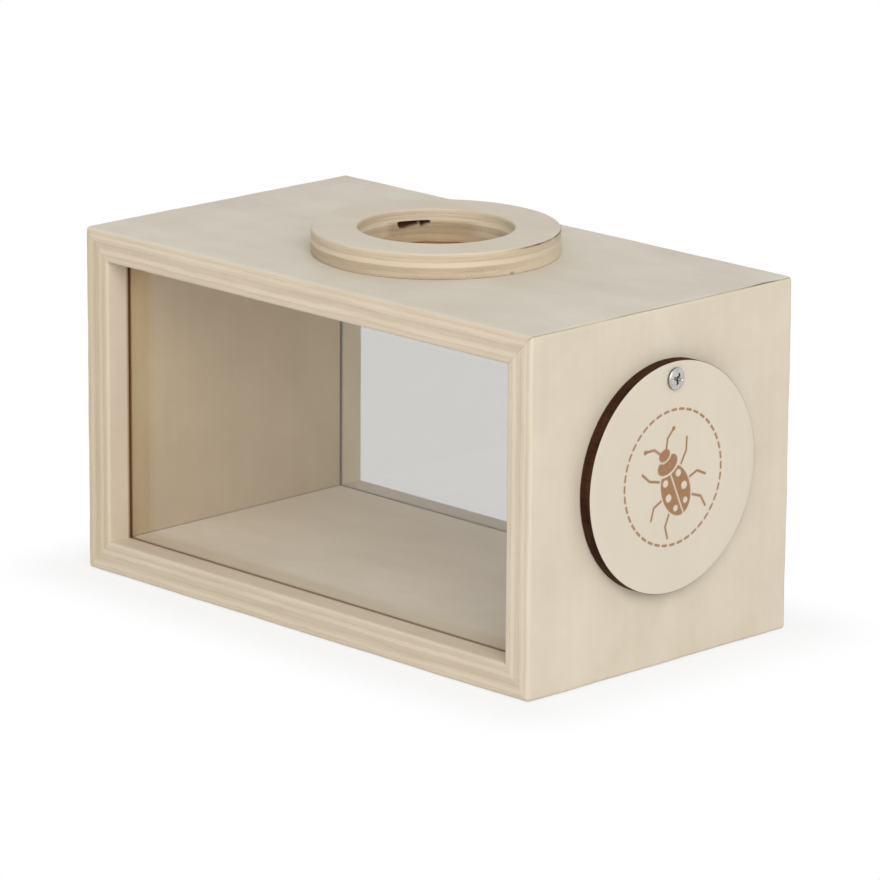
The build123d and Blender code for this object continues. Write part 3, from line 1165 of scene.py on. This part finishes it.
def makeScrew():
    s = screwShape
    low, high = nodeBox("pivot_screw")
    seat = high[0] - s["underside"]
    cells = np.linspace(-1, 1, s["headCells"] + 1)
    across, up = disc(cells)
    rho = np.hypot(across, up)
    turn = np.radians(s["recessTurn"])
    rim = s["headRadius"]
    a = np.abs(across * np.cos(turn) - up * np.sin(turn)) * rim
    b = np.abs(across * np.sin(turn) + up * np.cos(turn)) * rim
    # dome: rim + (height - rim) * (1 - rho^2) ^ 0.55; the cross recess is cut by its two wings
    dome = s["headRim"] + (s["headHeight"] - s["headRim"]) * np.maximum(1 - rho ** 2, 0) ** 0.55
    small, large = np.minimum(a, b), np.maximum(a, b)
    half, span = s["recessWing"] / 2, s["recessSpan"] / 2
    wing = smoothStep(half + 0.12, half - 0.12, small)
    reach = smoothStep(span + 0.1, span - 0.9, large)
    middle = smoothStep(1.25, 0.75, np.hypot(a, b)) * 0.4
    height = dome - s["recessDepth"] * np.maximum(wing * reach, middle)
    head = points(seat + height, across * rim, up * rim + holes["pivotHeight"])
    ring = points(across, up)[windowLoop(0, s["headCells"], 0, s["headCells"])]
    # (radius, level) of the sides, from the rim of the head to the point
    tip, shank = low[0], s["shankRadius"]
    sides = [
        (rim, seat + s["headRim"]), (rim, seat + 0.12), (rim - 0.2, seat), (2.2, seat), (shank, seat - 0.2),
        (shank, seat - 5), (shank, tip + 2.4), (1.2, tip + 1.2), (0.5, tip + 0.3), (0.0, tip)]
    radii, levels = np.array(sides).T
    body = stacked(levels, radii[:, None, None] * ring) + [0, 0, holes["pivotHeight"]]
    # painted shade: the cross recess and the rim of the head darker, and the sides
    pit = np.maximum(wing * reach, middle * 1.6)
    grids = [
        (head, gridQuads(head), {"rimAndRecessShade": np.clip(0.85 * pit + smoothStep(0.975, 1.0, rho), 0, 1)}),
        (body, gridQuads(body, wrapColumns=True), {"rimAndRecessShade": np.ones(body.shape[:2])}),
    ]
    return makePiece("pivotScrew", grids, "box", ["pivot_screw"], screwMaterial, sharpAngle=50)


makeScrew()
print("screw made")


studio = {
    "skyLight": 0.6,
    "keyPower": 26.0,
    "keySize": 1.5,
    "keyDistance": 2.2,
    "keyFrom": (0.7, -0.52, 0.49),
    "keyAim": 0.05,  # m above the floor
    "floorColour": (0.82, 0.82, 0.82, 1),
    "floorHalf": 5.0,  # m
    "floorLevel": -0.0002,
    "shadowShare": 0.24,  # how much of the floor beside the object shows its own light and shadow
    "shadowReach": 0.035,  # m
}


def makeFloor():
    mesh = bpy.data.meshes.new("floor")
    size, level = studio["floorHalf"], studio["floorLevel"]
    corners = [(x * size, y * size, level) for x, y in ((-1, -1), (1, -1), (1, 1), (-1, 1))]
    mesh.from_pydata(corners, [], [(0, 1, 2, 3)])
    floor = newObject("floor", mesh)
    material, tree, shader = newMaterial("studioFloor")
    feed(tree, shader.inputs, {"Base Color": studio["floorColour"], "Roughness": 0.9, "Specular IOR Level": 0.1})
    # the distance from the box: the length of |place| - half the box, held above 0
    place = add(tree, "TexCoord").outputs["Object"]
    half = (*(allHigh[:2] * mm), 0.01)
    for operation, second in (("ABSOLUTE", half), ("SUBTRACT", half), ("MAXIMUM", (0, 0, 0)), ("LENGTH", half)):
        away = add(tree, "VectorMath", {0: place, 1: second}, operation=operation).outputs
        place = away[0]
    away = away["Value"]
    share = between(tree, away, 0.0, studio["shadowReach"], 1 - studio["shadowShare"], 1.0)
    white = add(tree, "Emission", {"Color": (1, 1, 1, 1), "Strength": 1.0})
    share = maths(tree, "MULTIPLY", isSeen(tree), share)
    mixShaders(tree, share, shader, white, tree.nodes["Material Output"])
    mesh.materials.append(material)


def makeSky():
    world = bpy.data.worlds.new("studioSky")
    bpy.context.scene.world = world
    world.use_nodes = True
    tree = world.node_tree
    tree.nodes.clear()
    light = add(tree, "Background", {"Color": (1, 1, 1, 1), "Strength": studio["skyLight"]})
    white = add(tree, "Background", {"Color": (1, 1, 1, 1), "Strength": 1.0})
    mixShaders(tree, isSeen(tree), light, white, add(tree, "OutputWorld"))


def makeKeyLight():
    lamp = bpy.data.lights.new("keyLight", "AREA")
    lamp.shape = "DISK"
    lamp.size = studio["keySize"]
    lamp.energy = studio["keyPower"]
    key = newObject("keyLight", lamp)
    back = np.array(studio["keyFrom"])
    back = back / np.linalg.norm(back)
    right = np.cross([0, 0, 1], back)
    right = right / np.linalg.norm(right)
    place = back * studio["keyDistance"] + [0, 0, studio["keyAim"]]
    setPlace(key, right, np.cross(back, right), back, place)


makeFloor()
makeSky()
makeKeyLight()
print("floor and light made")
